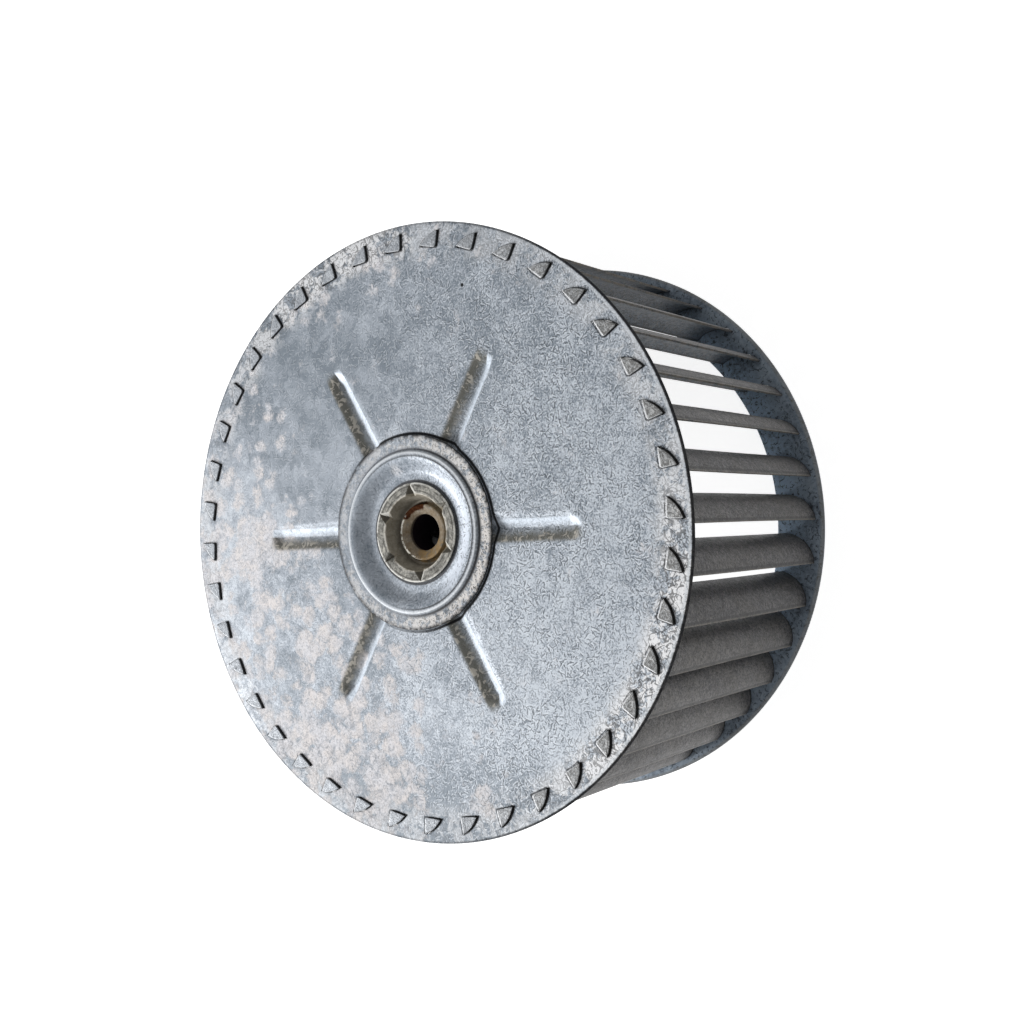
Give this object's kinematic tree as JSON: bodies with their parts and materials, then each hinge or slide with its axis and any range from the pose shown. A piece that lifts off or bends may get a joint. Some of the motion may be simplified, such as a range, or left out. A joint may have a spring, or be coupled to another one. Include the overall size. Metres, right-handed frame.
{
  "type": "blower wheel",
  "caption": "Forward-curved centrifugal blower wheel of folded sheet steel, with a ribbed back plate, an open inlet ring and a staked hub with a plain shaft bore.",
  "frame": {"origin": "on the wheel's axis, in the plane of the inlet lip that the wheel stands on", "axes": "+Z along the axis from the open inlet to the closed back plate; +X and +Y are free, and a viewer on -Y looking down sees the pictured side"},
  "size_m": [0.212, 0.212, 0.112],
  "materials": {
    "back_plate": "spangled zinc coating, weathered and mottled",
    "inlet_ring": "dull zinc coating, dirty",
    "hub_plate": "pressed steel, oxidised on its flange",
    "hub": "turned steel with light rust",
    "set_screw": "black oxide",
    "blades": "dark rough zinc coating, dusty"
  },
  "bodies": {
    "root": {"back_plate": "back_plate", "inlet_ring": "inlet_ring", "hub_plate": "hub_plate", "hub": "hub", "set_screw": "set_screw", "blade_01": "blades", "blade_02": "blades", "blade_03": "blades", "blade_04": "blades", "blade_05": "blades", "blade_06": "blades", "blade_07": "blades", "blade_08": "blades", "blade_09": "blades", "blade_10": "blades", "blade_11": "blades", "blade_12": "blades", "blade_13": "blades", "blade_14": "blades", "blade_15": "blades", "blade_16": "blades", "blade_17": "blades", "blade_18": "blades", "blade_19": "blades", "blade_20": "blades", "blade_21": "blades", "blade_22": "blades", "blade_23": "blades", "blade_24": "blades", "blade_25": "blades", "blade_26": "blades", "blade_27": "blades", "blade_28": "blades", "blade_29": "blades", "blade_30": "blades", "blade_31": "blades", "blade_32": "blades", "blade_33": "blades", "blade_34": "blades", "blade_35": "blades", "blade_36": "blades", "blade_37": "blades", "blade_38": "blades", "blade_39": "blades", "blade_40": "blades"}
  },
  "joints": []
}
